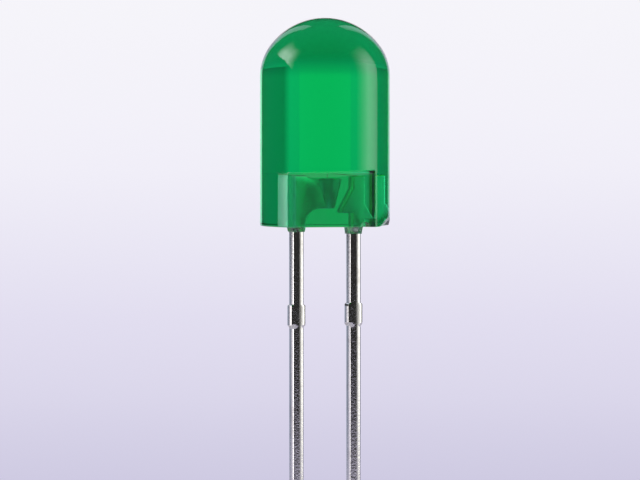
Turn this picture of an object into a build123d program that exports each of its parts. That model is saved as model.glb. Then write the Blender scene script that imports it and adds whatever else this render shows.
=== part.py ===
from build123d import *
import os
from math import atan2, cos, degrees, radians, sin, sqrt, tan

# A through hole LED in clear green epoxy, in millimetres. The origin is the centre of the
# body's underside. +Z is the optical axis, +X runs from the cathode to the anode, -Y is the front.

# Epoxy body
body_diameter = 5.0
body_height = 8.0
crown_over_barrel = 0.12  # the crown's radius is this much more than the barrel's
shoulder_centre_out = 0.5  # how far from the axis the shoulder's arc is centred

# Moulded window, a flat low on the front of the barrel
window_distance = 1.85  # from the axis to the flat
window_height = 2.1
window_turn = 21.7  # degrees from the front towards the cathode
window_slope = 2.0  # degrees that its top edge rises towards the anode
window_edge_radius = 0.05
base_edge_radius = 0.03

# Breaks in the lower edge of the body
corner_break_width = 0.27  # on the underside, in from the barrel
corner_break_height = 0.33  # up the barrel
corner_break_radius = 6.0
corner_break_turn = 71.0  # degrees from the window's normal towards the anode
bite_radius = 0.18
bite_height = 0.19
bite_along = 1.28  # from the middle of the window towards the anode

# Epoxy drawn out along the leads
creep_foot = 0.09  # spread on the underside around each lead
creep_waist = 0.04  # spread where the hollow upper part turns into the thin lower one
creep_waist_depth = 0.1  # below the underside
creep_edge = 0.015  # thickness left at the lower end
cathode_creep = 0.22
anode_creep = 0.34

# Leads
lead_pitch = 2.54
lead_width = 0.5
lead_thickness = 0.5
lead_corner = 0.08
cathode_length = 26.5  # below the underside
anode_length = 28.0

# Tie bar stubs
stub_top = 3.02  # below the underside
stub_height = 0.85
stub_reach = 0.09  # beyond each side of the lead

# Anvil on the cathode
cathode_shoulder_top = 2.0
cathode_shoulder_width = 0.45
anvil_top = 1.85
anvil_underside = 0.68
throat_radius = 0.6
shoulder_run = 0.3  # length of the slope from the shoulder down to the anvil
head_top_radius = 0.56
head_bottom_radius = 0.3
stamped_corner = 0.04  # radius of the leadframe's free corners

# Reflector cup
cup_rim_radius = 0.45
cup_floor_radius = 0.26
cup_depth = 0.34
cup_rim_edge = 0.02
cup_floor_edge = 0.04

# Post on the anode
post_top = 1.95
frame_gap = 0.22  # between the anvil and the anode's foot
foot_bottom = 0.5
foot_top = 1.45
foot_tip_height = 0.1
ear_reach = 0.38
ear_bottom = 0.25
ear_top = 0.85

# Die, its adhesive and its bond pad
die_side = 0.28
die_height = 0.15
adhesive_radius = 0.22
adhesive_thickness = 0.02
pad_radius = 0.06
pad_thickness = 0.015

# Bond wire
wire_diameter = 0.03
ball_radius = 0.045
ball_height = 0.03
loop_height = 0.26  # above the anvil
loop_radius = 0.12
stitch_length = 0.1
stitch_width = 0.06
stitch_height = 0.02

# Places worked out from the sizes above
barrel_radius = body_diameter / 2
crown_radius = barrel_radius + crown_over_barrel
crown_centre = body_height - crown_radius
shoulder_radius = barrel_radius - shoulder_centre_out
shoulder_lift = sqrt(crown_over_barrel * (crown_over_barrel + 2 * shoulder_centre_out))
barrel_top = crown_centre + shoulder_lift
shoulder_angle = degrees(atan2(shoulder_lift, shoulder_centre_out))

cathode_x = -lead_pitch / 2
anode_x = lead_pitch / 2
cathode_inner = cathode_x + lead_width / 2
cathode_outer = cathode_x - lead_width / 2
anode_inner = anode_x - lead_width / 2
anode_outer = anode_x + lead_width / 2

cup_floor = anvil_top - cup_depth
die_bottom = cup_floor + adhesive_thickness
die_top = die_bottom + die_height
pad_top = die_top + pad_thickness
foot_tip = head_bottom_radius + frame_gap


def on_barrel(angle, radius):
    """A point at that angle from the front towards the anode, and that far from the axis."""
    return radius * sin(radians(angle)), -radius * cos(radians(angle))


def lead_bar(x, length, top):
    """A straight lead from its tip up to its top inside the body, with its tie bar stub."""
    with BuildPart() as bar:
        with BuildSketch(Plane.XY.offset(-length)):
            with Locations((x, 0)):
                RectangleRounded(lead_width, lead_thickness, lead_corner)
        extrude(amount=length + top)
        with BuildSketch(Plane.XY.offset(-stub_top)):
            with Locations((x, 0)):
                RectangleRounded(lead_width + 2 * stub_reach, lead_thickness, lead_corner)
        extrude(amount=-stub_height)
    return bar.part


cathode_bar = lead_bar(cathode_x, cathode_length, cathode_shoulder_top)
anode_bar = lead_bar(anode_x, anode_length, post_top)

# Cathode lead, whose anvil carries the reflector cup
with BuildPart() as cathode_lead:
    add(cathode_bar)
    with BuildSketch(Plane.XZ) as web:
        with BuildLine():
            shoulder_end = cathode_outer + cathode_shoulder_width
            throat_foot = (cathode_inner, anvil_underside - throat_radius)
            throat_head = (cathode_inner + throat_radius, anvil_underside)
            Polyline(
                throat_head,
                (0, anvil_underside),
                (0, anvil_top),
                (shoulder_end + shoulder_run, anvil_top),
                (shoulder_end, cathode_shoulder_top),
                (cathode_x, cathode_shoulder_top),
                (cathode_x, throat_foot[1]),
                throat_foot,
            )
            RadiusArc(throat_foot, throat_head, throat_radius)
        make_face()
        fillet(web.vertices().group_by(Axis.Y)[-1].sort_by(Axis.X)[-1], stamped_corner)
    extrude(amount=lead_thickness / 2, both=True)
    with BuildSketch(Plane.XZ):
        Polygon(
            (0, anvil_underside),
            (head_bottom_radius, anvil_underside),
            (head_top_radius, anvil_top),
            (0, anvil_top),
            align=None,
        )
    revolve(axis=Axis.Z)
    with BuildSketch(Plane.XZ) as cup:
        Polygon(
            (0, cup_floor),
            (cup_floor_radius, cup_floor),
            (cup_rim_radius, anvil_top),
            (0, anvil_top),
            align=None,
        )
        fillet(cup.vertices().group_by(Axis.Y)[0].sort_by(Axis.X)[-1], cup_floor_edge)
    revolve(axis=Axis.Z, mode=Mode.SUBTRACT)
    fillet(cathode_lead.edges(Select.LAST).group_by(Axis.Z)[-1], cup_rim_edge)
cathode_lead.part.label = "cathode_lead"

# Anode lead, with a foot and an ear that anchor its post in the epoxy
with BuildPart() as anode_lead:
    add(anode_bar)
    with BuildSketch(Plane.XZ) as anchors:
        Polygon(
            (anode_x, foot_bottom),
            (foot_tip, foot_bottom),
            (foot_tip, foot_bottom + foot_tip_height),
            (anode_inner, foot_top),
            (anode_x, foot_top),
            align=None,
        )
        Polygon(
            (anode_x, ear_bottom),
            (anode_outer + ear_reach, ear_bottom),
            (anode_outer, ear_top),
            (anode_x, ear_top),
            align=None,
        )
        tips = anchors.vertices().group_by(Axis.X)
        fillet(tips[0] + tips[-1], stamped_corner)
    extrude(amount=lead_thickness / 2, both=True)
anode_lead.part.label = "anode_lead"

# Conductive adhesive under the die
with BuildPart() as die_attach:
    with BuildSketch(Plane.XY.offset(cup_floor)):
        Circle(adhesive_radius)
    extrude(amount=adhesive_thickness)
die_attach.part.label = "die_attach"

# Light emitting die
with BuildPart() as led_chip:
    with BuildSketch(Plane.XY.offset(die_bottom)):
        Rectangle(die_side, die_side)
    extrude(amount=die_height)
led_chip.part.label = "led_chip"

# Bond pad on the die
with BuildPart() as chip_pad:
    with BuildSketch(Plane.XY.offset(die_top)):
        Circle(pad_radius)
    extrude(amount=pad_thickness)
chip_pad.part.label = "chip_pad"

# Bond wire, from a ball on the pad over the cup's rim to a stitch on the post
with BuildPart() as bond_wire:
    with BuildSketch(Plane.XY.offset(pad_top)):
        Circle(ball_radius)
    extrude(amount=ball_height)
    with BuildLine(Plane.XZ) as loop:
        FilletPolyline(
            (0, pad_top + ball_height / 2),
            (0, anvil_top + loop_height),
            (anode_x, post_top + wire_diameter / 2),
            radius=loop_radius,
        )
    with BuildSketch(Plane.XY.offset(pad_top + ball_height / 2)):
        Circle(wire_diameter / 2)
    sweep(path=loop.wires()[0])
    with BuildSketch(Plane.XY.offset(post_top)):
        with Locations((anode_x, 0)):
            Rectangle(stitch_length, stitch_width)
    extrude(amount=stitch_height)
bond_wire.part.label = "bond_wire"

# Cast epoxy body, which fills the space around all that it holds
with BuildPart() as lens_body:
    with BuildSketch(Plane.XZ):
        with BuildLine():
            shoulder = CenterArc(
                (shoulder_centre_out, barrel_top), shoulder_radius, 0, shoulder_angle
            )
            crown = CenterArc(
                (0, crown_centre), crown_radius, shoulder_angle, 90 - shoulder_angle
            )
            Polyline(crown @ 1, (0, 0), (barrel_radius, 0), shoulder @ 0)
        make_face()
    revolve(axis=Axis.Z)

    window_x, window_y = on_barrel(-window_turn, window_distance)
    along_x, along_y = on_barrel(90 - window_turn, 1)
    window_plane = Plane(
        origin=(window_x, window_y, 0),
        x_dir=(along_x, along_y, 0),
        z_dir=(window_x, window_y, 0),
    )
    with BuildSketch(window_plane):
        rise = barrel_radius * tan(radians(window_slope))
        Polygon(
            (-barrel_radius, -body_height),
            (barrel_radius, -body_height),
            (barrel_radius, window_height + rise),
            (-barrel_radius, window_height - rise),
            align=None,
        )
    extrude(amount=barrel_radius, mode=Mode.SUBTRACT)
    fillet(lens_body.edges(Select.LAST).filter_by(Axis.Z), window_edge_radius)
    fillet(lens_body.faces().sort_by(Axis.Z)[0].edges(), base_edge_radius)

    for lead_x, creep in ((cathode_x, cathode_creep), (anode_x, anode_creep)):
        for depth, spread in ((0, creep_foot), (creep_waist_depth, creep_waist), (creep, creep_edge)):
            with BuildSketch(Plane.XY.offset(-depth)):
                with Locations((lead_x, 0)):
                    width = lead_width + 2 * spread
                    thickness = lead_thickness + 2 * spread
                    RectangleRounded(width, thickness, lead_corner + spread)
        loft(ruled=True)

    # The corner's break is a shallow hollow, a ball's surface through two points of the edge's section
    half_chord = sqrt(corner_break_width**2 + corner_break_height**2) / 2
    reach = sqrt(corner_break_radius**2 - half_chord**2) / (2 * half_chord)
    break_out = barrel_radius - corner_break_width / 2 + reach * corner_break_height
    break_down = corner_break_height / 2 - reach * corner_break_width
    break_x, break_y = on_barrel(corner_break_turn - window_turn, break_out)
    with Locations((break_x, break_y, break_down)):
        Sphere(corner_break_radius, mode=Mode.SUBTRACT)
    bite_x = window_x + bite_along * along_x
    bite_y = window_y + bite_along * along_y
    with Locations((bite_x, bite_y, bite_height - bite_radius)):
        Sphere(bite_radius, mode=Mode.SUBTRACT)

    for held in (cathode_lead, anode_lead, die_attach, led_chip, chip_pad, bond_wire):
        add(held.part, mode=Mode.SUBTRACT)
lens_body.part.label = "lens_body"

os.makedirs("parts", exist_ok=True)
export_step(lens_body.part, "parts/lens_body.step")
export_step(cathode_lead.part, "parts/cathode_lead.step")
export_step(anode_lead.part, "parts/anode_lead.step")
export_step(led_chip.part, "parts/led_chip.step")
export_step(chip_pad.part, "parts/chip_pad.step")
export_step(die_attach.part, "parts/die_attach.step")
export_step(bond_wire.part, "parts/bond_wire.step")
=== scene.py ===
import math

import bpy
import numpy as np
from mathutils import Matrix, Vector, noise


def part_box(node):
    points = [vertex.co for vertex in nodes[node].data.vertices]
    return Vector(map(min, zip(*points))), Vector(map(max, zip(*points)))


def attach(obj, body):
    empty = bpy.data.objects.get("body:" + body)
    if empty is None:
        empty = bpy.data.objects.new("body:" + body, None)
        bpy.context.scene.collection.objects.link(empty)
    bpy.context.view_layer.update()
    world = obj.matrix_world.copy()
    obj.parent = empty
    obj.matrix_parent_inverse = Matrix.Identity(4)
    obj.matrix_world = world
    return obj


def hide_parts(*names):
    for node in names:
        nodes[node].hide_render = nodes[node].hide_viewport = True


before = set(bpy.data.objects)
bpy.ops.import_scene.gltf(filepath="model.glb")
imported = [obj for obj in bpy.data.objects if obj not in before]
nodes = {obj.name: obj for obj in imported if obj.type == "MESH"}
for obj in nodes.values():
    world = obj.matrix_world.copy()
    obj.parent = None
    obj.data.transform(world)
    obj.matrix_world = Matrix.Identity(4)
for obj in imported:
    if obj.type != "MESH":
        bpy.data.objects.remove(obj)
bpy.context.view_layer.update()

# A 5 mm through hole LED in clear green epoxy. Sizes in the dictionaries are in millimetres and angles in
# degrees. A turn is measured round the optical axis, from the front (-Y) towards the anode (+X).

mm = 0.001


def boxOf(node):
    low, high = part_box(node)
    return low / mm, high / mm


bodyHigh = boxOf("lens_body")[1]
cathodeLow, cathodeHigh = boxOf("cathode_lead")
anodeLow, anodeHigh = boxOf("anode_lead")
padHigh = boxOf("chip_pad")[1]


# Small helpers

def linear(hexColour):
    # sRGB hex to the linear colour that a shader wants
    channels = [int(hexColour[i:i + 2], 16) / 255 for i in (1, 3, 5)]
    return [c / 12.92 if c <= 0.04045 else ((c + 0.055) / 1.055) ** 2.4 for c in channels] + [1.0]


def perMm(size):
    # texture scale that makes a pattern's cells about this many millimetres
    return 1 / (size * mm)


def addNode(tree, kind, settings=None, inputs=None):
    # stops are a colour ramp's, and an input is a value, a socket, or a node whose first output is meant
    node = tree.nodes.new(kind)
    for name, value in (settings or {}).items():
        if name != "stops":
            setattr(node, name, value)
            continue
        elements = node.color_ramp.elements
        while len(elements) < len(value):
            elements.new(0.5)
        for element, (place, colour) in zip(elements, value):
            element.position = place
            element.color = colour
    for key, value in (inputs or {}).items():
        if isinstance(value, bpy.types.Node):
            value = value.outputs[0]
        if isinstance(value, bpy.types.NodeSocket):
            tree.links.new(value, node.inputs[key])
        else:
            node.inputs[key].default_value = value
    return node


def rampStops(stops, low, high):
    # places between two limits, each with a hex colour or a grey level, in the form that a colour ramp takes
    placed = []
    for place, shade in stops:
        colour = linear(shade) if isinstance(shade, str) else (shade, shade, shade, 1.0)
        placed.append(((place - low) / (high - low), colour))
    return placed


def newMaterial(name):
    material = bpy.data.materials.new(name)
    material.use_nodes = True
    material.node_tree.nodes.clear()
    return material, material.node_tree


def meshObject(name, points, faces, material=None, uvs=None):
    mesh = bpy.data.meshes.new(name)
    mesh.from_pydata([tuple(p) for p in points], [], [tuple(f) for f in faces])
    if uvs:  # one for each corner of each face
        layout = mesh.uv_layers.new(name="layout")
        for corner, uv in zip(layout.data, uvs):
            corner.uv = uv
    mesh.validate()
    mesh.shade_smooth()
    if material:
        mesh.materials.append(material)
    thing = bpy.data.objects.new(name, mesh)
    bpy.context.scene.collection.objects.link(thing)
    return thing


def bake(thing, name, material):
    # turn whatever the modifiers make into a plain mesh
    bpy.context.view_layer.update()
    graph = bpy.context.evaluated_depsgraph_get()
    mesh = bpy.data.meshes.new_from_object(thing.evaluated_get(graph))
    bpy.data.objects.remove(thing)
    mesh.name = name
    mesh.materials.clear()
    mesh.materials.append(material)
    made = bpy.data.objects.new(name, mesh)
    bpy.context.scene.collection.objects.link(made)
    return made


def onTurn(turn, radius, height=0.0):
    # a point at that turn, that far from the axis
    angle = math.radians(turn)
    return Vector((radius * math.sin(angle), -radius * math.cos(angle), height))


# Epoxy body: its outer skin, with the leads and the die embedded in it

window = {
    "turn": -21.7,
    "distance": 1.85,  # from the axis to the flat
    "height": 2.1,
    "slope": 2.0,  # the ledge over the flat is a little out of level
    "edgeRound": 0.05,
    "ledgeRound": 0.045,
    "ledgeDraft": 0.006,
}
barrel = {
    "radius": bodyHigh.x,
    "height": bodyHigh.z,
    "crownOverBarrel": 0.12,  # how much larger the crown's radius is than the barrel's
    "shoulderCentreOut": 0.5,  # from the axis to the centre of the shoulder's arc
    "rimRound": 0.03,
}
cornerBreak = {
    "turn": window["turn"] + 71.0,
    "width": 0.27,
    "height": 0.33,
    "radius": 6.0,  # so large that the broken face is nearly flat
    "grain": 0.16,
    "rough": 0.035,
    "paleReach": 0.42,
}
bite = {
    "along": 1.28,  # from the window's middle, along its lower edge
    "height": 0.19,
    "radius": 0.18,
    "push": (0.8, 0.6),  # inwards and up, the way that the skin is pushed in
    "grain": 0.08,
    "rough": 0.02,
    "paleReach": 0.2,
}
crumbleDepth = 0.06  # a broken face is at its roughest where it lies at least this deep
epoxy = {
    "ior": 1.53,
    "roughness": 0.01,
    "tint": "#f2fff6",
    "deepColour": (0.0, 0.908, 0.674, 1.0),  # 1 would let that colour through, however thick the epoxy is
    "absorption": 1300.0,  # per metre, so that 5 mm stops nearly all of the red
    "ripple": 0.9,
    "rippleDepth": 0.0007,
    "hazeColour": "#62c795",  # the window's flat is lightly textured by the mould
    "hazeClear": 0.82,  # share of the light that still goes straight through it
    "hazePatch": 0.5,
    "hazeRange": (0.3, 0.7),  # noise values that give the lightest and the heaviest haze
    "hazeUneven": (0.8, 1.15),
    "flatDepth": (0.006, 0.03),  # up to the first from the window's plane is flat, past the second is not
    "underLedge": 0.06,  # the haze fades out over this height
    "fractureColour": "#d4ecd8",
    "fractureClear": 0.35,
    "fractureFade": 0.7,  # share of its reach at which a broken face starts to fade
    "skinDepth": (0.03, 0.01),  # deeper than the first is broken, shallower than the second is skin
}


def onWindow(along, height=0.0):
    # a point on the window's flat, that far to the right of its middle
    return onTurn(window["turn"], window["distance"], height) + onTurn(window["turn"] + 90, along)


def flatMask(tree, place):
    # 1 on the window's flat and 0 elsewhere
    outward = addNode(tree, "ShaderNodeVectorMath", {"operation": "DOT_PRODUCT"}, {
        0: place, 1: onTurn(window["turn"], 1)})
    off = addNode(tree, "ShaderNodeMath", {"operation": "SUBTRACT"}, {
        0: outward.outputs["Value"], 1: window["distance"] * mm})
    away = addNode(tree, "ShaderNodeMath", {"operation": "ABSOLUTE"}, {0: off})
    near, far = epoxy["flatDepth"]
    onPlane = addNode(tree, "ShaderNodeMapRange", {"interpolation_type": "SMOOTHSTEP"}, {
        "Value": away, "From Min": near * mm, "From Max": far * mm, "To Min": 1.0, "To Max": 0.0})
    height = addNode(tree, "ShaderNodeSeparateXYZ", None, {0: place}).outputs[2]
    underLedge = addNode(tree, "ShaderNodeMapRange", {"interpolation_type": "SMOOTHSTEP"}, {
        "Value": height, "From Min": (window["height"] - epoxy["underLedge"]) * mm,
        "From Max": window["height"] * mm, "To Min": 1.0, "To Max": 0.0})
    return addNode(tree, "ShaderNodeMath", {"operation": "MULTIPLY"}, {0: onPlane, 1: underLedge})


def fractureMask(tree, place, onFlat):
    # 1 on the faces of the two breaks, which are near their middles, under the barrel's skin and off the flat
    corner = onTurn(cornerBreak["turn"], barrel["radius"], cornerBreak["height"] / 2)
    near = []
    for spot, reach in ((corner, cornerBreak["paleReach"]), (onWindow(bite["along"]), bite["paleReach"])):
        apart = addNode(tree, "ShaderNodeVectorMath", {"operation": "DISTANCE"}, {0: place, 1: spot * mm})
        near.append(addNode(tree, "ShaderNodeMapRange", {"interpolation_type": "SMOOTHSTEP"}, {
            "Value": apart.outputs["Value"], "From Min": reach * epoxy["fractureFade"] * mm,
            "From Max": reach * mm, "To Min": 1.0, "To Max": 0.0}))
    broken = addNode(tree, "ShaderNodeMath", {"operation": "MAXIMUM"}, {0: near[0], 1: near[1]})
    level = addNode(tree, "ShaderNodeVectorMath", {"operation": "MULTIPLY"}, {0: place, 1: (1.0, 1.0, 0.0)})
    out = addNode(tree, "ShaderNodeVectorMath", {"operation": "LENGTH"}, {0: level})
    deep, shallow = epoxy["skinDepth"]
    underSkin = addNode(tree, "ShaderNodeMapRange", None, {
        "Value": out.outputs["Value"], "From Min": (barrel["radius"] - deep) * mm,
        "From Max": (barrel["radius"] - shallow) * mm, "To Min": 1.0, "To Max": 0.0})
    offFlat = addNode(tree, "ShaderNodeMath", {"operation": "SUBTRACT"}, {0: 1.0, 1: onFlat})
    inside = addNode(tree, "ShaderNodeMath", {"operation": "MULTIPLY"}, {0: underSkin, 1: offFlat})
    return addNode(tree, "ShaderNodeMath", {"operation": "MULTIPLY"}, {0: broken, 1: inside})


def makeEpoxy():
    # anhydride cured cast epoxy with a green dye: clear as glass, and its colour deepens with thickness
    material, tree = newMaterial("castEpoxyGreenDye")
    place = addNode(tree, "ShaderNodeTexCoord").outputs["Object"]
    ripple = addNode(tree, "ShaderNodeTexNoise", {"noise_dimensions": "3D"}, {
        "Vector": place, "Scale": perMm(epoxy["ripple"]), "Detail": 2.0, "Roughness": 0.4})
    bump = addNode(tree, "ShaderNodeBump", None, {
        "Strength": 1.0, "Distance": epoxy["rippleDepth"] * mm, "Height": ripple.outputs["Fac"]})

    # the window's flat is hazy in patches
    onFlat = flatMask(tree, place)
    patch = addNode(tree, "ShaderNodeTexNoise", {"noise_dimensions": "3D"}, {
        "Vector": place, "Scale": perMm(epoxy["hazePatch"]), "Detail": 3.0})
    (low, high), (least, most) = epoxy["hazeRange"], epoxy["hazeUneven"]
    uneven = addNode(tree, "ShaderNodeMapRange", None, {
        "Value": patch.outputs["Fac"], "From Min": low, "From Max": high, "To Min": least, "To Max": most})
    haze = addNode(tree, "ShaderNodeMath", {"operation": "MULTIPLY"}, {0: onFlat, 1: uneven})
    hazy = addNode(tree, "ShaderNodeMix", {"data_type": "RGBA"}, {
        0: onFlat, 6: linear(epoxy["tint"]), 7: linear(epoxy["hazeColour"])})
    clear = addNode(tree, "ShaderNodeMapRange", None, {
        "Value": haze, "To Min": 1.0, "To Max": epoxy["hazeClear"]})

    # the broken faces scatter light, so they look paler than the skin round them
    fracture = fractureMask(tree, place, onFlat)
    colour = addNode(tree, "ShaderNodeMix", {"data_type": "RGBA"}, {
        0: fracture, 6: hazy.outputs[2], 7: linear(epoxy["fractureColour"])})
    clear = addNode(tree, "ShaderNodeMix", {"data_type": "FLOAT"}, {
        0: fracture, 2: clear, 3: epoxy["fractureClear"]})
    glass = addNode(tree, "ShaderNodeBsdfPrincipled", None, {
        "Base Color": colour.outputs[2], "Roughness": epoxy["roughness"], "IOR": epoxy["ior"],
        "Transmission Weight": clear, "Normal": bump})
    dye = addNode(tree, "ShaderNodeVolumeAbsorption", None, {
        "Color": epoxy["deepColour"], "Density": epoxy["absorption"]})
    addNode(tree, "ShaderNodeOutputMaterial", None, {"Surface": glass, "Volume": dye})
    return material


creep = {
    "foot": 0.09,
    "edge": 0.015,
    "cathode": 0.22,
    "anode": 0.34,
    "hollow": 2.2,  # 1 is a straight cone, more is a hollower meniscus
}
leadSection = {"pitch": 2.54, "width": 0.5, "thickness": 0.5, "corner": 0.08}
columnStep = {  # degrees from one column of the skin to the next
    "plain": 1.15,
    "edge": 0.2,
    "bite": 0.3,
    "break": 0.45,
    "edgeReach": 1.2,  # to each side of the window's edges
    "biteTurns": (7.0, 19.0),
    "breakEnd": 72.0,
}
rowStep = {  # starts, ends and steps, as shares of each stretch, closer together at the leads and the breaks
    "underside": ((0.03, 0.34, 0.06), (0.34, 0.72, 0.0115), (0.72, 0.88, 0.03), (0.88, 1.0, 0.012)),
    "flat": ((0.01, 0.19, 0.01), (0.19, 1.0, 0.13)),
    "wall": ((0.004, 0.02, 0.008), (0.02, 0.98, 0.12), (0.98, 1.0, 0.01)),
    "bendRows": 5,  # this and the next three are counts
    "ledgeRows": 7,
    "shoulderRows": 24,
    "crownRows": 38,
}


def spread(stretches):
    # angles or shares from a list of (start, end, step) stretches
    values = []
    for start, end, step in stretches:
        count = max(1, round((end - start) / step))
        values += [start + (end - start) * i / count for i in range(count)]
    return np.array(values)


def softMin(a, b, width):
    # the smaller of two sizes, rounded where they cross
    h = np.maximum(width - np.abs(a - b), 0) / width
    return np.minimum(a, b) - h * h * width / 4


def leadDistance(x, y, centre):
    # how far a point is outside a lead's rounded section
    w, t, r = leadSection["width"] / 2, leadSection["thickness"] / 2, leadSection["corner"]
    dx = np.abs(x - centre) - (w - r)
    dy = np.abs(y) - (t - r)
    outside = np.hypot(np.maximum(dx, 0), np.maximum(dy, 0))
    return outside + np.minimum(np.maximum(dx, dy), 0) - r


def underside(x, y):
    # the flat base, drawn out along each lead
    z = np.zeros_like(x)
    reach = creep["foot"] - creep["edge"]
    for side, drop in ((-1, creep["cathode"]), (1, creep["anode"])):
        away = leadDistance(x, y, side * leadSection["pitch"] / 2) - creep["edge"]
        z -= drop * np.clip(1 - np.maximum(away, 0) / reach, 0, 1) ** creep["hollow"]
    return z


def skinTurns():
    # the columns stand closer together at the window's edges and at the breaks
    half = math.degrees(math.acos(window["distance"] / barrel["radius"]))
    left, right = window["turn"] - half, window["turn"] + half
    near, plain, breakEnd = columnStep["edgeReach"], columnStep["plain"], columnStep["breakEnd"]
    biteStart, biteEnd = columnStep["biteTurns"]
    return spread([
        (right + near, breakEnd, columnStep["break"]),
        (breakEnd, 360 + left - near, plain),
        (360 + left - near, 360 + left + near, columnStep["edge"]),
        (360 + left + near, 360 + biteStart, plain),
        (360 + biteStart, 360 + biteEnd, columnStep["bite"]),
        (360 + biteEnd, 360 + right + near, columnStep["edge"])])


def skinRows(turns):
    # from the middle of the underside to the crown, each row a distance from the axis and a height, which are
    # lists with a value for every column where the window makes them differ
    radius, rim, fillet = barrel["radius"], barrel["rimRound"], window["ledgeRound"]
    angle, fromWindow = np.radians(turns), np.radians(turns - window["turn"])
    flat = window["distance"] / np.maximum(np.cos(fromWindow), 0.2)  # the limit keeps it clear of the barrel
    low = softMin(np.full_like(flat, radius), flat, window["edgeRound"])
    tilt = math.tan(math.radians(window["slope"])) * np.sin(fromWindow)
    filletOut = np.minimum(fillet, (radius - low) / 2)
    bend = np.radians(np.linspace(0, 90, rowStep["bendRows"]))

    # underside and rim
    rows = []
    for share in spread(rowStep["underside"]):
        out = (low - rim) * share
        rows.append((out, underside(out * np.sin(angle), -out * np.cos(angle))))
    for step in bend:
        rows.append((low - rim + rim * np.sin(step), rim * (1 - math.cos(step))))
    # up to the window's ledge
    ledgeLow = window["height"] + tilt * low
    climb = ledgeLow - fillet - rim
    for share in spread(rowStep["flat"]):
        rows.append((low, rim + climb * share))
    # hollow corner under the ledge, the ledge, and its rounded lip
    for step in bend:
        rows.append((low + filletOut * (1 - math.cos(step)), ledgeLow - fillet * (1 - math.sin(step))))
    ledgeFrom, ledgeTo = low + filletOut, radius - filletOut
    for share in np.arange(1, rowStep["ledgeRows"] + 1) / (rowStep["ledgeRows"] + 1):
        out = ledgeFrom + (ledgeTo - ledgeFrom) * share
        rows.append((out, window["height"] + tilt * out + window["ledgeDraft"] * share))
    ledgeHigh = window["height"] + tilt * radius + window["ledgeDraft"]
    for step in bend:
        rows.append((ledgeTo + filletOut * math.sin(step), ledgeHigh + fillet * (1 - math.cos(step))))
    # straight wall
    crownRadius = radius + barrel["crownOverBarrel"]
    crownCentre = barrel["height"] - crownRadius
    out = barrel["shoulderCentreOut"]
    lift = math.sqrt(barrel["crownOverBarrel"] * (barrel["crownOverBarrel"] + 2 * out))
    wallStart, wallTop = ledgeHigh + fillet, crownCentre + lift
    for share in spread(rowStep["wall"]):
        rows.append((radius, wallStart + (wallTop - wallStart) * share))
    # shoulder and crown, two arcs that run into each other
    turnover = math.atan2(lift, out)
    for step in np.linspace(0, turnover, rowStep["shoulderRows"], endpoint=False):
        rows.append((out + (radius - out) * math.cos(step), wallTop + (radius - out) * math.sin(step)))
    for step in np.linspace(turnover, math.pi / 2, rowStep["crownRows"], endpoint=False):
        rows.append((crownRadius * math.cos(step), crownCentre + crownRadius * math.sin(step)))
    return rows


def breakAway(points, centre, inward, radius, grain, rough):
    # push what lies inside a ball onto its surface, along one direction, with a crumbled finish
    centre, inward = np.array(centre), np.array(inward.normalized())
    offset = points - centre
    along = offset @ inward
    inside = (offset ** 2).sum(1) < radius ** 2
    push = -along + np.sqrt(np.maximum(along ** 2 - (offset ** 2).sum(1) + radius ** 2, 0))
    for i in np.flatnonzero(inside):
        depth = min(1.0, push[i] / crumbleDepth)
        crumble = noise.fractal(Vector(points[i]) / grain, 1.0, 2.0, 3)
        points[i] += inward * (push[i] + depth * rough * crumble)


def breakEdges(points):
    # the broken corner beside the window, and the bite out of the window's lower edge
    radius, width, height = barrel["radius"], cornerBreak["width"], cornerBreak["height"]
    halfChord = math.hypot(width, height) / 2
    reach = math.sqrt(cornerBreak["radius"] ** 2 - halfChord ** 2) / (2 * halfChord)
    centre = onTurn(cornerBreak["turn"], radius - width / 2 + reach * height, height / 2 - reach * width)
    breakAway(points, centre, onTurn(cornerBreak["turn"], radius) - centre, cornerBreak["radius"],
              cornerBreak["grain"], cornerBreak["rough"])
    centre = onWindow(bite["along"], bite["height"] - bite["radius"])
    inwards, upwards = bite["push"]
    breakAway(points, centre, onTurn(window["turn"], -inwards, upwards), bite["radius"],
              bite["grain"], bite["rough"])


def makeBody():
    turns = skinTurns()
    angle, count = np.radians(turns), len(turns)
    rows = skinRows(turns)
    points = np.array([np.broadcast_arrays(r * np.sin(angle), -r * np.cos(angle), z) for r, z in rows])
    points = points.transpose(0, 2, 1).reshape(-1, 3)
    points = np.vstack([points, [(0, 0, 0)], [(0, 0, barrel["height"])]])
    breakEdges(points)

    faces = []
    for i in range(len(rows) - 1):
        for j in range(count):
            k = (j + 1) % count
            faces.append((i * count + j, i * count + k, (i + 1) * count + k, (i + 1) * count + j))
    bottom, top = len(points) - 2, len(points) - 1
    last = (len(rows) - 1) * count
    for j in range(count):
        k = (j + 1) % count
        faces.append((bottom, k, j))
        faces.append((last + j, last + k, top))
    return meshObject("epoxyBody", points * mm, faces, makeEpoxy())


epoxyBody = makeBody()
print("epoxy body", len(epoxyBody.data.polygons), "faces")


# Leads: a stamped bar each, swept by Geometry Nodes, with the anvil or the post joined on inside the body

tin = {
    "colour": "#e4e2dc",
    "dullColour": "#cfccc5",
    "roughness": (0.03, 0.11),
    "grain": 0.075,  # plating crystals
    "grainDepth": 0.0026,
    "grainRange": (0.3, 0.75),  # noise values that give the least and the most roughness
    "drawLine": 0.03,  # scratches left along the strip
    "drawRatio": 0.03,  # a scratch's width as a share of its length
    "drawDepth": 0.001,
    "stain": 0.6,
    "stainRange": (0.45, 0.72),  # noise values at which the dull colour starts and is full
    "silverColour": "#f4f2ec",  # inside the body the frame is silver plated instead
    "silverRoughness": 0.26,
    "silverShine": 0.72,  # the rest scatters, as a matt plating does
    "silverEdge": 0.02,  # tin turns to silver from this far below the underside to this far above it
}


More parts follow.
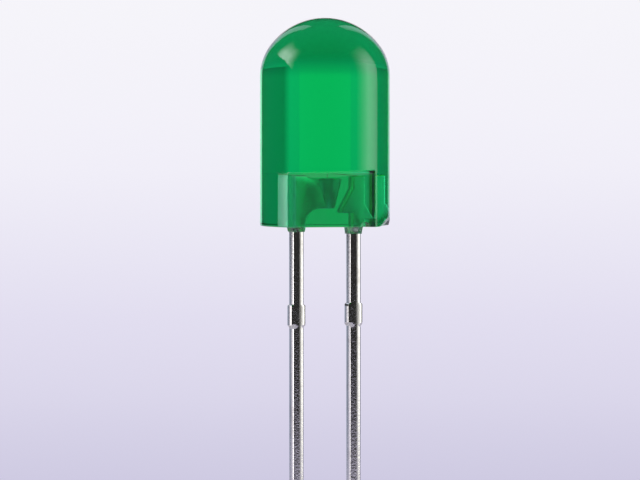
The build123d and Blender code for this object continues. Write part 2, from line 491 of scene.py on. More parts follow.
def makeTin():
    # bright tin over stamped steel: a mirror broken up by a fine crystal grain and by lines along the strip
    material, tree = newMaterial("brightTinOnSteel")
    place = addNode(tree, "ShaderNodeTexCoord").outputs["Object"]
    height = addNode(tree, "ShaderNodeSeparateXYZ", None, {0: place}).outputs[2]
    inBody = addNode(tree, "ShaderNodeMapRange", None, {
        "Value": height, "From Min": -tin["silverEdge"] * mm, "From Max": tin["silverEdge"] * mm})
    grain = addNode(tree, "ShaderNodeTexNoise", {"noise_dimensions": "3D"}, {
        "Vector": place, "Scale": perMm(tin["grain"]), "Detail": 3.0, "Roughness": 0.6})
    stretch = addNode(tree, "ShaderNodeMapping", None, {
        "Vector": place, "Scale": (1.0, 1.0, tin["drawRatio"])})
    lines = addNode(tree, "ShaderNodeTexNoise", {"noise_dimensions": "3D"}, {
        "Vector": stretch, "Scale": perMm(tin["drawLine"]), "Detail": 2.0})
    stain = addNode(tree, "ShaderNodeTexNoise", {"noise_dimensions": "3D"}, {
        "Vector": place, "Scale": perMm(tin["stain"]), "Detail": 4.0, "Roughness": 0.65})
    start, full = tin["stainRange"]
    stained = addNode(tree, "ShaderNodeMapRange", {"interpolation_type": "SMOOTHSTEP"}, {
        "Value": stain.outputs["Fac"], "From Min": start, "From Max": full})
    tinColour = addNode(tree, "ShaderNodeMix", {"data_type": "RGBA"}, {
        0: stained, 6: linear(tin["colour"]), 7: linear(tin["dullColour"])})
    colour = addNode(tree, "ShaderNodeMix", {"data_type": "RGBA"}, {
        0: inBody, 6: tinColour.outputs[2], 7: linear(tin["silverColour"])})
    (low, high), (least, most) = tin["grainRange"], tin["roughness"]
    tinRough = addNode(tree, "ShaderNodeMapRange", None, {
        "Value": grain.outputs["Fac"], "From Min": low, "From Max": high, "To Min": least, "To Max": most})
    rough = addNode(tree, "ShaderNodeMix", {"data_type": "FLOAT"}, {
        0: inBody, 2: tinRough, 3: tin["silverRoughness"]})
    lineBump = addNode(tree, "ShaderNodeBump", None, {
        "Strength": 1.0, "Distance": tin["drawDepth"] * mm, "Height": lines.outputs["Fac"]})
    grainBump = addNode(tree, "ShaderNodeBump", None, {
        "Strength": 1.0, "Distance": tin["grainDepth"] * mm, "Height": grain.outputs["Fac"],
        "Normal": lineBump})
    shine = addNode(tree, "ShaderNodeMapRange", None, {
        "Value": inBody, "To Min": 1.0, "To Max": tin["silverShine"]})
    metal = addNode(tree, "ShaderNodeBsdfPrincipled", None, {
        "Base Color": colour.outputs[2], "Metallic": shine, "Roughness": rough, "Normal": grainBump})
    addNode(tree, "ShaderNodeOutputMaterial", None, {"Surface": metal})
    return material


tinMaterial = makeTin()

stub = {"top": -3.02, "height": 0.85, "reach": 0.09, "shear": 0.035}
bar = {
    "step": 0.05,
    "crown": 0.036,  # how far the edges of a face lie below its middle
    "wave": 0.0015,
    "waveLength": 1.6,
    "ring": 64,
    "cornerSteps": 6,
    "joint": 0.3,  # how far the bar runs up into the anvil or the post
}


def makeBarTree():
    tree = bpy.data.node_groups.new("leadBar", "GeometryNodeTree")
    sockets = {}
    for name in ("Length", "Top", "Place", "Width", "Thickness", "Corner", "Crown", "Stub Top", "Stub Foot",
                 "Stub Reach", "Shear", "Wave", "Seed", "Material"):
        kind = "NodeSocketMaterial" if name == "Material" else "NodeSocketFloat"
        sockets[name] = tree.interface.new_socket(name, in_out="INPUT", socket_type=kind).identifier
    tree.interface.new_socket("Mesh", in_out="OUTPUT", socket_type="NodeSocketGeometry")
    given = addNode(tree, "NodeGroupInput").outputs
    here = addNode(tree, "GeometryNodeInputPosition")
    at = addNode(tree, "ShaderNodeSeparateXYZ", None, {0: here}).outputs

    # the section: a rounded oblong whose faces are slightly crowned
    oblong = addNode(tree, "GeometryNodeCurvePrimitiveQuadrilateral", None, {
        "Width": given["Width"], "Height": given["Thickness"]})
    rounded = addNode(tree, "GeometryNodeFilletCurve", {"mode": "POLY"}, {
        "Curve": oblong, "Count": bar["cornerSteps"], "Radius": given["Corner"]})
    ring = addNode(tree, "GeometryNodeResampleCurve", {"mode": "COUNT"}, {
        "Curve": rounded, "Count": bar["ring"]})
    half = addNode(tree, "ShaderNodeCombineXYZ", None, {0: given["Width"], 1: given["Thickness"], 2: 1.0})
    share = addNode(tree, "ShaderNodeVectorMath", {"operation": "DIVIDE"}, {0: here, 1: half})
    doubled = addNode(tree, "ShaderNodeVectorMath", {"operation": "SCALE"}, {0: share, "Scale": 2.0})
    squared = addNode(tree, "ShaderNodeVectorMath", {"operation": "MULTIPLY"}, {0: doubled, 1: doubled})
    fall = addNode(tree, "ShaderNodeSeparateXYZ", None, {0: squared}).outputs
    swapped = addNode(tree, "ShaderNodeCombineXYZ", None, {0: fall[1], 1: fall[0]})
    inward = addNode(tree, "ShaderNodeVectorMath", {"operation": "MULTIPLY"}, {0: swapped, 1: doubled})
    dropped = addNode(tree, "ShaderNodeVectorMath", {"operation": "SCALE"}, {
        0: inward, "Scale": given["Crown"]})
    crowned = addNode(tree, "ShaderNodeVectorMath", {"operation": "SUBTRACT"}, {0: here, 1: dropped})
    section = addNode(tree, "GeometryNodeSetPosition", None, {"Geometry": ring, "Position": crowned})

    # the bar, from its tip up into the body
    below = addNode(tree, "ShaderNodeMath", {"operation": "MULTIPLY"}, {0: given["Length"], 1: -1.0})
    tip = addNode(tree, "ShaderNodeCombineXYZ", None, {2: below})
    head = addNode(tree, "ShaderNodeCombineXYZ", None, {2: given["Top"]})
    line = addNode(tree, "GeometryNodeCurvePrimitiveLine", None, {"Start": tip, "End": head})
    steps = addNode(tree, "GeometryNodeResampleCurve", {"mode": "LENGTH"}, {
        "Curve": line, "Length": bar["step"] * mm})
    swept = addNode(tree, "GeometryNodeCurveToMesh", None, {
        "Curve": steps, "Profile Curve": section, "Fill Caps": True})

    # the sheared tie bar stub, and a slight unevenness along the strip
    underTop = addNode(tree, "ShaderNodeMath", {"operation": "SUBTRACT"}, {0: given["Stub Top"], 1: at[2]})
    overFoot = addNode(tree, "ShaderNodeMath", {"operation": "SUBTRACT"}, {0: at[2], 1: given["Stub Foot"]})
    nearer = addNode(tree, "ShaderNodeMath", {"operation": "MINIMUM"}, {0: underTop, 1: overFoot})
    inStub = addNode(tree, "ShaderNodeMapRange", {"interpolation_type": "SMOOTHSTEP"}, {
        "Value": nearer, "From Min": 0.0, "From Max": given["Shear"]})
    side = addNode(tree, "ShaderNodeMath", {"operation": "DIVIDE"}, {0: at[0], 1: given["Width"]})
    reach = addNode(tree, "ShaderNodeMath", {"operation": "MULTIPLY"}, {0: given["Stub Reach"], 1: 2.0})
    out = addNode(tree, "ShaderNodeMath", {"operation": "MULTIPLY"}, {0: side, 1: reach})
    widened = addNode(tree, "ShaderNodeMath", {"operation": "MULTIPLY_ADD"}, {
        0: out, 1: inStub, 2: given["Place"]})
    wave = addNode(tree, "ShaderNodeTexNoise", {"noise_dimensions": "4D"}, {
        "Vector": here, "W": given["Seed"], "Scale": perMm(bar["waveLength"]), "Detail": 2.0})
    uneven = addNode(tree, "ShaderNodeVectorMath", {"operation": "SUBTRACT"}, {
        0: wave.outputs["Color"], 1: (0.5, 0.5, 0.5)})
    sideways = addNode(tree, "ShaderNodeVectorMath", {"operation": "MULTIPLY"}, {
        0: uneven, 1: (1.0, 1.0, 0.0)})
    slight = addNode(tree, "ShaderNodeVectorMath", {"operation": "SCALE"}, {
        0: sideways, "Scale": given["Wave"]})
    shift = addNode(tree, "ShaderNodeCombineXYZ", None, {0: widened})
    offset = addNode(tree, "ShaderNodeVectorMath", {"operation": "ADD"}, {0: slight, 1: shift})
    placed = addNode(tree, "GeometryNodeSetPosition", None, {"Geometry": swept, "Offset": offset})
    real = addNode(tree, "GeometryNodeRealizeInstances", None, {"Geometry": placed})
    dressed = addNode(tree, "GeometryNodeSetMaterial", None, {
        "Geometry": real, "Material": given["Material"]})
    addNode(tree, "NodeGroupOutput", None, {0: dressed})
    return tree, sockets


barTree, barSockets = makeBarTree()


def makeBar(name, place, tip, seed):
    holder = meshObject(name, [], [])
    modifier = holder.modifiers.new("bar", "NODES")
    modifier.node_group = barTree
    sizes = {
        "Length": -tip, "Top": bar["joint"], "Place": place, "Width": leadSection["width"],
        "Thickness": leadSection["thickness"], "Corner": leadSection["corner"], "Crown": bar["crown"],
        "Stub Top": stub["top"], "Stub Foot": stub["top"] - stub["height"], "Stub Reach": stub["reach"],
        "Shear": stub["shear"], "Wave": bar["wave"]}
    for key, value in sizes.items():
        modifier[barSockets[key]] = value * mm
    modifier[barSockets["Seed"]] = seed
    modifier[barSockets["Material"]] = tinMaterial
    return bake(holder, name, tinMaterial)


plate = {
    "thickness": leadSection["thickness"] - 0.004,  # a hair thinner than the bar, so that they cross cleanly
    "foot": 0.02,  # over the underside
    "edge": 0.05,
    "edgeSteps": 3,
    "edgeFrom": 40.0,  # corners that turn more than this are rounded
    "sharpFrom": 38.0,
}


def extrudeOutline(name, outline):
    # a stamped plate in the plane of the leads, with rounded edges
    count = len(outline)
    points = [(x * mm, side * plate["thickness"] / 2 * mm, z * mm) for side in (-1, 1) for x, z in outline]
    faces = [tuple(range(count)), tuple(range(2 * count - 1, count - 1, -1))]
    faces += [(i, i + count, (i + 1) % count + count, (i + 1) % count) for i in range(count)]
    sheet = meshObject(name, points, faces)
    rounding = sheet.modifiers.new("rounding", "BEVEL")
    rounding.width = plate["edge"] * mm
    rounding.segments = plate["edgeSteps"]
    rounding.limit_method = "ANGLE"
    rounding.angle_limit = math.radians(plate["edgeFrom"])
    return bake(sheet, name, tinMaterial)


def revolve(name, outline, steps=72):
    # a closed solid of revolution about the optical axis; the outline starts and ends on the axis
    inner = outline[1:-1]
    points = [(0, 0, outline[0][1] * mm), (0, 0, outline[-1][1] * mm)]
    for out, z in inner:
        points += [tuple(onTurn(360 * i / steps, out, z) * mm) for i in range(steps)]
    faces = []
    for i in range(steps):
        k = (i + 1) % steps
        faces.append((0, 2 + k, 2 + i))
        for row in range(len(inner) - 1):
            a, b = 2 + row * steps, 2 + (row + 1) * steps
            faces.append((a + i, a + k, b + k, b + i))
        last = 2 + (len(inner) - 1) * steps
        faces.append((last + i, last + k, 1))
    return meshObject(name, points, faces, tinMaterial)


def combine(target, tool, operation):
    change = target.modifiers.new("combine", "BOOLEAN")
    change.operation = operation
    change.object = tool
    change.solver = "EXACT"
    made = bake(target, target.name, tinMaterial)
    bpy.data.objects.remove(tool)
    return made


def finishLead(lead):
    # smooth over the gentle curves, crisp at the stamped corners
    lead.data.shade_smooth()
    lead.data.set_sharp_from_angle(angle=math.radians(plate["sharpFrom"]))
    return lead


anvil = {
    "shoulderWidth": 0.45, "shoulderTop": cathodeHigh.z, "shoulderRun": 0.3, "top": 1.85,
    "underside": 0.68, "throat": 0.6, "throatSteps": 13,
    "headTop": cathodeHigh.x, "headBottom": 0.3, "headChamfer": 0.04,
    "rimChamfer": (0.02, 0.03),  # in and down
    "cupRim": 0.45, "cupFloor": 0.26, "cupDepth": 0.34,
    "cupChamfer": (0.03, 0.02),  # in and up
    "cutPast": (0.03, 0.1),  # out and up, so that the cut goes clear of the top
}
post = {
    "top": anodeHigh.z, "footTip": anodeLow.x, "footBottom": 0.5, "footTop": 1.45, "tipHeight": 0.1,
    "ear": 0.38, "earBottom": 0.25, "earTop": 0.85,
}


def makeCathode():
    centre = -leadSection["pitch"] / 2
    outer, inner = centre - leadSection["width"] / 2, centre + leadSection["width"] / 2
    shoulder = outer + anvil["shoulderWidth"]
    top, bottom, throat = anvil["top"], anvil["underside"], anvil["throat"]
    outline = [(outer, plate["foot"]), (inner, plate["foot"])]
    outline += [(inner + throat * (1 - math.sin(a)), bottom - throat * (1 - math.cos(a)))
                for a in np.radians(np.linspace(90, 0, anvil["throatSteps"]))]
    outline += [(0, bottom), (0, top), (shoulder + anvil["shoulderRun"], top),
                (shoulder, anvil["shoulderTop"]), (outer, anvil["shoulderTop"])]
    lead = makeBar("cathodeLead", centre, cathodeLow.z, 3.0)
    lead = combine(lead, extrudeOutline("web", outline), "UNION")
    chamfer, (rimIn, rimDown) = anvil["headChamfer"], anvil["rimChamfer"]
    lead = combine(lead, revolve("head", [
        (0, bottom), (anvil["headBottom"] - chamfer, bottom), (anvil["headBottom"], bottom + chamfer),
        (anvil["headTop"], top - rimDown), (anvil["headTop"] - rimIn, top), (0, top)]), "UNION")
    floor = top - anvil["cupDepth"]
    (floorIn, floorUp), (pastOut, pastUp) = anvil["cupChamfer"], anvil["cutPast"]
    lead = combine(lead, revolve("cup", [
        (0, floor), (anvil["cupFloor"] - floorIn, floor), (anvil["cupFloor"], floor + floorUp),
        (anvil["cupRim"], top), (anvil["cupRim"] + pastOut, top + pastUp), (0, top + pastUp)]), "DIFFERENCE")
    return finishLead(lead)


def makeAnode():
    centre = leadSection["pitch"] / 2
    outer, inner = centre + leadSection["width"] / 2, centre - leadSection["width"] / 2
    outline = [
        (inner, plate["foot"]), (outer, plate["foot"]), (outer, post["earBottom"]),
        (outer + post["ear"], post["earBottom"]), (outer, post["earTop"]), (outer, post["top"]),
        (inner, post["top"]), (inner, post["footTop"]),
        (post["footTip"], post["footBottom"] + post["tipHeight"]), (post["footTip"], post["footBottom"]),
        (inner, post["footBottom"])]
    lead = makeBar("anodeLead", centre, anodeLow.z, 7.0)
    return finishLead(combine(lead, extrudeOutline("plate", outline), "UNION"))


cathodeLead = makeCathode()
anodeLead = makeAnode()
print("leads", len(cathodeLead.data.polygons), "and", len(anodeLead.data.polygons), "faces")


# Bond wire: one thread with a ball at the die and a pressed stitch on the post

wire = {
    "diameter": 0.03,
    "ball": 0.045,  # radius where the ball is widest
    "ballShape": ((0, 0.55), (0.008, 0.95), (0.018, 1.0), (0.03, 0.6)),  # heights, and shares of its radius
    "neckHeight": 0.05,
    "loop": 2.11,
    "bend": 0.12,
    "bendSteps": (0.12, 0.88, 8),
    "spanSteps": (0.0, 0.25, 0.5, 0.75, 0.94),
    "stitch": ((0.03, -0.003, 0.9), (0.05, -0.005, 0.5)),  # along, down, and share of the wire's width
    "pressBefore": 0.06,
    "pressRun": 0.05,
    "pressWider": 0.9,
    "pressFlatter": 0.45,
    "mark": 0.012,
    "colour": "#f2c25a",
    "dullColour": "#d9a441",
    "roughness": (0.12, 0.3),
}


def makeGold():
    # drawn gold wire: soft metal, nearly a mirror, with faint marks from the drawing die
    material, tree = newMaterial("drawnGold")
    place = addNode(tree, "ShaderNodeTexCoord").outputs["Object"]
    mark = addNode(tree, "ShaderNodeTexNoise", {"noise_dimensions": "3D"}, {
        "Vector": place, "Scale": perMm(wire["mark"]), "Detail": 2.0})
    tone = addNode(tree, "ShaderNodeMix", {"data_type": "RGBA"}, {
        0: mark.outputs["Fac"], 6: linear(wire["colour"]), 7: linear(wire["dullColour"])})
    least, most = wire["roughness"]
    rough = addNode(tree, "ShaderNodeMapRange", None, {
        "Value": mark.outputs["Fac"], "To Min": least, "To Max": most})
    metal = addNode(tree, "ShaderNodeBsdfPrincipled", None, {
        "Base Color": tone.outputs[2], "Metallic": 1.0, "Roughness": rough})
    addNode(tree, "ShaderNodeOutputMaterial", None, {"Surface": metal})
    return material


goldMaterial = makeGold()


def wirePath():
    # points along the wire, each with its width as a share of the ball's
    thin, bend = wire["diameter"] / 2, wire["bend"]
    slim = thin / wire["ball"]
    start, end, postX = padHigh.z, post["top"], leadSection["pitch"] / 2
    up = Vector((0, 0, 1))
    path = [(up * (start + rise), width) for rise, width in (*wire["ballShape"], (wire["neckHeight"], slim))]
    path += [(up * (wire["loop"] - bend - bend * share), slim) for share in (1.0, 0.5, 0.0)]
    corner = up * wire["loop"]
    slope = (Vector((postX, 0, end)) - corner).normalized()
    before, after = corner - up * bend, corner + slope * bend
    for t in np.linspace(*wire["bendSteps"]):
        path.append((before * (1 - t) ** 2 + corner * 2 * t * (1 - t) + after * t ** 2, slim))
    finish = Vector((postX, 0, end + thin))
    path += [(after.lerp(finish, t), slim) for t in wire["spanSteps"]]
    path += [(finish + Vector((along, 0, down)), slim * share) for along, down, share in wire["stitch"]]
    return path


def makeWire():
    path = wirePath()
    curve = bpy.data.curves.new("wire", "CURVE")
    curve.dimensions = "3D"
    curve.bevel_depth = wire["ball"] * mm
    curve.bevel_resolution = 6
    curve.use_fill_caps = True
    line = curve.splines.new("POLY")
    line.points.add(len(path) - 1)
    for point, (place, width) in zip(line.points, path):
        point.co = (*(place * mm), 1)
        point.radius = width
    holder = bpy.data.objects.new("wire", curve)
    bpy.context.scene.collection.objects.link(holder)
    made = bake(holder, "bondWire", goldMaterial)
    postX = leadSection["pitch"] / 2
    for vertex in made.data.vertices:  # the stitch is pressed flat and wide
        past = vertex.co.x / mm - postX + wire["pressBefore"]
        press = min(1.0, max(0.0, past / wire["pressRun"]))
        vertex.co.y *= 1 + press * wire["pressWider"]
        vertex.co.z += (post["top"] * mm - vertex.co.z) * press * wire["pressFlatter"]
    made.data.shade_smooth()
    return made


bondWire = makeWire()
print("bond wire ready")


# Die and its adhesive keep their CAD shape and get their finish

die = {"colour": "#5a6438", "sawnColour": "#8a9457", "saw": 0.02, "roughness": (0.12, 0.4), "ior": 2.4}
adhesive = {"colour": "#c9c7c2", "dullColour": "#8f8d89", "flake": 0.012, "roughness": 0.5, "shine": 0.6}


def makeDie():
    # sawn gallium phosphide crystal: dark olive, with glossy and hazy patches left by the saw
    material, tree = newMaterial("galliumPhosphideDie")
    place = addNode(tree, "ShaderNodeTexCoord").outputs["Object"]
    saw = addNode(tree, "ShaderNodeTexNoise", {"noise_dimensions": "3D"}, {
        "Vector": place, "Scale": perMm(die["saw"]), "Detail": 3.0})
    shade = addNode(tree, "ShaderNodeMix", {"data_type": "RGBA"}, {
        0: saw.outputs["Fac"], 6: linear(die["colour"]), 7: linear(die["sawnColour"])})
    least, most = die["roughness"]
    rough = addNode(tree, "ShaderNodeMapRange", None, {
        "Value": saw.outputs["Fac"], "To Min": least, "To Max": most})
    crystal = addNode(tree, "ShaderNodeBsdfPrincipled", None, {
        "Base Color": shade.outputs[2], "Roughness": rough, "IOR": die["ior"]})
    addNode(tree, "ShaderNodeOutputMaterial", None, {"Surface": crystal})
    return material


def makeAdhesive():
    # silver filled die attach: a grey paste with bright flakes
    material, tree = newMaterial("silverFilledAdhesive")
    place = addNode(tree, "ShaderNodeTexCoord").outputs["Object"]
    flake = addNode(tree, "ShaderNodeTexVoronoi", None, {"Vector": place, "Scale": perMm(adhesive["flake"])})
    tone = addNode(tree, "ShaderNodeMix", {"data_type": "RGBA"}, {
        0: flake.outputs["Distance"], 6: linear(adhesive["colour"]), 7: linear(adhesive["dullColour"])})
    paste = addNode(tree, "ShaderNodeBsdfPrincipled", None, {
        "Base Color": tone.outputs[2], "Metallic": adhesive["shine"], "Roughness": adhesive["roughness"]})
    addNode(tree, "ShaderNodeOutputMaterial", None, {"Surface": paste})
    return material


for node, material, slot in (
        ("led_chip", makeDie(), "die_semiconductor"), ("chip_pad", goldMaterial, "gold"),
        ("die_attach", makeAdhesive(), "silver_adhesive")):
    nodes[node].data.materials.clear()
    nodes[node].data.materials.append(material)
for piece, node, slot in (
        (epoxyBody, "lens_body", "green_epoxy"), (cathodeLead, "cathode_lead", "tinned_lead"),
        (anodeLead, "anode_lead", "tinned_lead"), (bondWire, "bond_wire", "gold")):
    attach(piece, "root")
    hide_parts(node)
print("pieces placed")


# Studio: a seamless paper cove all round, two softboxes, and screens and flags just out of the picture

camera = {
    "turn": -30.0,
    "elevation": 2.3,
    "distance": 250.0,
    "sensor": 36.0,
    "focal": 365.1,  # 25.96 px of the 640 px frame are 1 mm
    "aimRight": -0.19,
    "aimHeight": -0.56,
    "clip": (10.0, 5000.0),
}
cove = {
    "floor": anodeLow.z - 0.02,
    "rings": (0.001, 3, 8, 16, 24, 32, 40, 50, 62, 76, 92, 112, 140, 180, 240),  # closer near the LED
    "flat": 330.0,
    "bend": 270.0,
    "bendRise": 0.6,  # the bend's height as a share of its width
    "bendRows": 24,
    "height": 760.0,
    "steps": 120,
    "shadowNear": 90.0,
    "shadowFar": 190.0,
    "floorColour": "#e6e4f0",
    "fillPower": 0.9,  # an overhead lamp that brings the floor to a plain level
    "fillSize": 400.0,
    "fillHeight": 500.0,
    "ceilingColour": "#3a3a42",
    "paper": (  # elevation seen from the LED, and the colour painted there, darker low down as painted shade
        (-90, "#c0bcd8"), (-9, "#c0bcd8"), (-3.5, "#e2def0"), (-1.2, "#f2f0f9"), (1, "#f6f5fa"),
        (90, "#f5f4f9")),
}


def makeCoveMaterial():
    # matt paper: near the LED the lamps light it, so that it keeps the shadow, and further out the camera,
    # metal and epoxy all see it as bright as it is painted, with painted shade that darkens it below the
    # horizon
    material, tree = newMaterial("pearlGreyPaper")
    layout = addNode(tree, "ShaderNodeTexCoord").outputs["UV"]
    height = addNode(tree, "ShaderNodeSeparateXYZ", None, {0: layout}).outputs[1]
    # the ramp is painted shade: the paper darkens below the horizon and out along the floor
    paper = addNode(tree, "ShaderNodeValToRGB", {"stops": rampStops(cove["paper"], -90, 90)}, {"Fac": height})
    place = addNode(tree, "ShaderNodeNewGeometry").outputs["Position"]
    flat = addNode(tree, "ShaderNodeVectorMath", {"operation": "MULTIPLY"}, {0: place, 1: (1.0, 1.0, 0.0)})
    out = addNode(tree, "ShaderNodeVectorMath", {"operation": "LENGTH"}, {0: flat})
    far = addNode(tree, "ShaderNodeMapRange", {"interpolation_type": "SMOOTHSTEP"}, {
        "Value": out.outputs["Value"], "From Min": cove["shadowNear"] * mm,
        "From Max": cove["shadowFar"] * mm})
    ray = addNode(tree, "ShaderNodeLightPath").outputs
    mirrored = addNode(tree, "ShaderNodeMath", {"operation": "MAXIMUM"}, {
        0: ray["Is Transmission Ray"], 1: ray["Is Glossy Ray"]})
    seen = addNode(tree, "ShaderNodeMath", {"operation": "MAXIMUM"}, {0: ray["Is Camera Ray"], 1: mirrored})
    painted = addNode(tree, "ShaderNodeMath", {"operation": "MULTIPLY"}, {0: far, 1: seen})
    lit = addNode(tree, "ShaderNodeBsdfDiffuse", None, {"Color": linear(cove["floorColour"])})
    shown = addNode(tree, "ShaderNodeEmission", None, {"Color": paper, "Strength": 1.0})
    mix = addNode(tree, "ShaderNodeMixShader", None, {0: painted, 1: lit, 2: shown})
    addNode(tree, "ShaderNodeOutputMaterial", None, {"Surface": mix})
    material.cycles.emission_sampling = "NONE"
    return material


def makeCove():
    floor, flat, bend, steps = cove["floor"], cove["flat"], cove["bend"], cove["steps"]
    outline = [(out, floor) for out in cove["rings"]]
    outline += [(flat + bend * math.sin(a), floor + bend * (1 - math.cos(a)) * cove["bendRise"])
                for a in np.radians(np.linspace(0, 90, cove["bendRows"]))]
    outline += [(flat + bend, floor + cove["height"])]
    points = [onTurn(360 * i / steps, out, z) * mm for out, z in outline for i in range(steps)]
    faces, uvs = [], []
    for row in range(len(outline) - 1):
        low, high = [0.5 + math.degrees(math.atan2(z, out)) / 180 for out, z in outline[row:row + 2]]
        for i in range(steps):
            k = (i + 1) % steps
            inner, outer = row * steps, (row + 1) * steps
            faces.append((inner + i, outer + i, outer + k, inner + k))
            uvs += [(0.5, low), (0.5, high), (0.5, high), (0.5, low)]
    meshObject("cove", points, faces, makeCoveMaterial(), uvs)


# Turns are to the right of the camera, and the places across and up are turns and elevations. A lamp lights
# the scene. A reflector is a pale card that only adds a reflection. A flag is black cloth that keeps
# reflections dark, while the paper behind it still shows through the clear body. A screen is pale blue grey
# cloth that shows in both. A card with no fades of its own is even all over.
screenTones = ((-6.7, "#bcc6e4"), (0.8, "#dfe8ff"), (52, "#dfe8ff"))
blackCloth = 0.03
cards = {
    "rightSoftbox": {
        "kind": "lamp", "distance": 220.0, "strength": 2.7,
        "lowEdge": ((58, -7), (107, -7)), "highEdge": 52.0,
        "across": ((58, 0.0), (66, 0.2), (84, 1.0), (94, 0.87), (106, 0.5), (107, 0.0)),
        "up": ((-7, 0.68), (12, 1.0), (26, 1.0), (52, 0.0)),
    },
    "leftSoftbox": {
        "kind": "lamp", "distance": 220.0, "strength": 4.8,
        "lowEdge": ((-120, 29), (-86, 29), (-66, 18), (-60, 15)), "highEdge": 54.0,
        "across": ((-120, 0.0), (-98, 1.0), (-78, 1.0), (-69, 0.35), (-60, 0.0)),
        "up": ((15, 1.0), (38, 1.0), (54, 0.0)),
    },
    "lowLeftReflector": {
        "kind": "reflector", "distance": 200.0, "strength": 2.2,
        "lowEdge": ((-92, -7.9), (-58, -7.9)), "highEdge": -1.1,
        "across": ((-92, 0.0), (-76, 1.0), (-58, 1.0)), "up": ((-7.9, 1.0), (-1.25, 1.0), (-1.1, 0.0)),
    },
    "frontFlag": {
        "kind": "flag", "distance": 230.0, "strength": blackCloth,
        "lowEdge": ((-58, -7), (150, -7)), "highEdge": 54.0,
    },
    "leftFlag": {
        "kind": "flag", "distance": 230.0, "strength": blackCloth,
        "lowEdge": ((-150, -2.2), (-93, -2.2), (-92, -1.18), (-58, -1.18)), "highEdge": 54.0,
    },
    "backFlag": {
        "kind": "flag", "distance": 245.0, "strength": blackCloth,
        "lowEdge": ((150, 17), (210, 17)), "highEdge": 54.0,
    },
    "leftScreen": {
        "kind": "screen", "distance": 240.0, "strength": 1.0,
        "lowEdge": ((-164, -6.7), (-110, -6.7)), "highEdge": 52.0,
        "across": ((-164, 1.0), (-150, 0.95), (-137, 0.6), (-130, 0.5), (-110, 0.5)), "up": screenTones,
    },
    "rightScreen": {
        "kind": "screen", "distance": 240.0, "strength": 1.0,
        "lowEdge": ((107, -6.7), (164, -6.7)), "highEdge": 52.0,
        "across": ((107, 0.5), (151, 0.5), (157, 1.0), (164, 1.0)), "up": screenTones,
    },
}


def cardSkin(distance, lowEdge, highEdge, bottom):
    # a sheet bent round the LED, with a place for every point on its own layout
    columns, rows = 60, 16
    first, last = lowEdge[0][0], lowEdge[-1][0]
    points, faces, places = [], [], []
    for i in range(rows + 1):
        for j in range(columns + 1):
            turn = first + (last - first) * j / columns
            low = np.interp(turn, [p[0] for p in lowEdge], [p[1] for p in lowEdge])
            height = low + (highEdge - low) * i / rows
            rise = math.radians(height)
            out, up = distance * math.cos(rise), distance * math.sin(rise)
            points.append(onTurn(turn + camera["turn"], out, up) * mm)
            places.append((j / columns, (height - bottom) / (highEdge - bottom)))
    for i in range(rows):
        for j in range(columns):
            a = i * (columns + 1) + j
            faces.append((a, a + columns + 1, a + columns + 2, a + 1))
    return points, faces, [places[v] for face in faces for v in face]


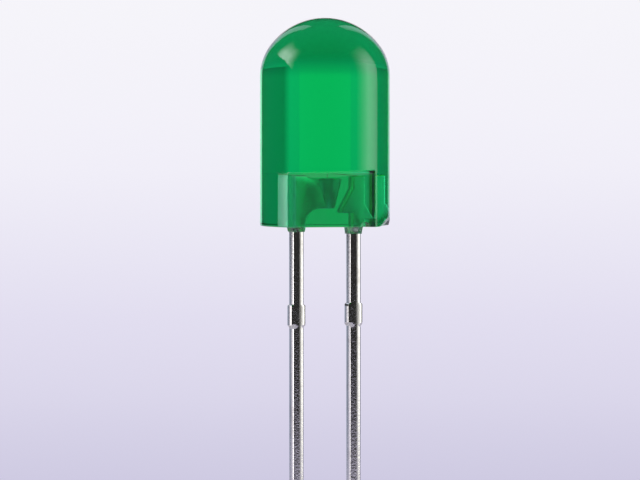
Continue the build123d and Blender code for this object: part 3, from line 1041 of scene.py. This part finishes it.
def makeCard(name, kind, distance, strength, lowEdge, highEdge, across=None, up=None):
    first, last = lowEdge[0][0], lowEdge[-1][0]
    bottom = min(height for turn, height in lowEdge)
    acrossStops = rampStops(across or ((first, 1.0), (last, 1.0)), first, last)
    upStops = rampStops(up or ((bottom, 1.0), (highEdge, 1.0)), bottom, highEdge)
    material, tree = newMaterial(name + "Cloth")
    layout = addNode(tree, "ShaderNodeTexCoord").outputs["UV"]
    uv = addNode(tree, "ShaderNodeSeparateXYZ", None, {0: layout}).outputs
    fadeAcross = addNode(tree, "ShaderNodeValToRGB", {"stops": acrossStops}, {"Fac": uv[0]})
    fadeUp = addNode(tree, "ShaderNodeValToRGB", {"stops": upStops}, {"Fac": uv[1]})
    both = addNode(tree, "ShaderNodeMix", {"data_type": "RGBA", "blend_type": "MULTIPLY"}, {
        0: 1.0, 6: fadeAcross, 7: fadeUp})
    surface = addNode(tree, "ShaderNodeEmission", None, {"Color": both.outputs[2], "Strength": strength})
    behind = addNode(tree, "ShaderNodeBsdfTransparent")
    if kind in ("lamp", "reflector"):  # its light fades out over what stands behind it
        surface = addNode(tree, "ShaderNodeAddShader", None, {0: surface, 1: behind})
    if kind in ("reflector", "flag"):
        ray = addNode(tree, "ShaderNodeLightPath").outputs
        surface = addNode(tree, "ShaderNodeMixShader", None, {
            0: ray["Is Transmission Ray"], 1: surface, 2: behind})
    addNode(tree, "ShaderNodeOutputMaterial", None, {"Surface": surface})
    points, faces, uvs = cardSkin(distance, lowEdge, highEdge, bottom)
    card = meshObject(name, points, faces, material, uvs)
    card.visible_camera = False
    card.visible_shadow = False
    if kind != "lamp":
        card.visible_diffuse = False
        material.cycles.emission_sampling = "NONE"


def makeFill():
    lamp = bpy.data.lights.new("overheadFill", "AREA")
    lamp.size = cove["fillSize"] * mm
    lamp.energy = cove["fillPower"]
    made = bpy.data.objects.new("overheadFill", lamp)
    made.location = (0, 0, cove["fillHeight"] * mm)
    made.visible_glossy = False
    made.visible_transmission = False
    bpy.context.scene.collection.objects.link(made)


def makeWorld():
    # the grey ceiling of the room, over the top of the paper
    world = bpy.data.worlds.new("studioRoom")
    world.use_nodes = True
    world.node_tree.nodes.clear()
    room = addNode(world.node_tree, "ShaderNodeBackground", None, {
        "Color": linear(cove["ceilingColour"]), "Strength": 1.0})
    addNode(world.node_tree, "ShaderNodeOutputWorld", None, {"Surface": room})
    bpy.context.scene.world = world


def makeCamera():
    turn, rise = math.radians(camera["turn"]), math.radians(camera["elevation"])
    back = Vector((math.sin(turn) * math.cos(rise), -math.cos(turn) * math.cos(rise), math.sin(rise)))
    right = Vector((math.cos(turn), math.sin(turn), 0))
    aim = right * camera["aimRight"] + Vector((0, 0, camera["aimHeight"]))
    lens = bpy.data.cameras.new("photoCamera")
    lens.sensor_width = camera["sensor"]
    lens.lens = camera["focal"]
    lens.clip_start, lens.clip_end = [distance * mm for distance in camera["clip"]]
    made = bpy.data.objects.new("photoCamera", lens)
    made.location = (aim + back * camera["distance"]) * mm
    made.rotation_euler = (-back).to_track_quat("-Z", "Y").to_euler()
    bpy.context.scene.collection.objects.link(made)
    bpy.context.scene.camera = made


makeCove()
for name, card in cards.items():
    makeCard(name, **card)
makeFill()
makeWorld()
makeCamera()
scene = bpy.context.scene
scene.view_settings.view_transform = "Standard"
scene.cycles.max_bounces = 32  # light is turned back many times inside clear epoxy
scene.cycles.glossy_bounces = 24
scene.cycles.transmission_bounces = 32
print("studio ready")
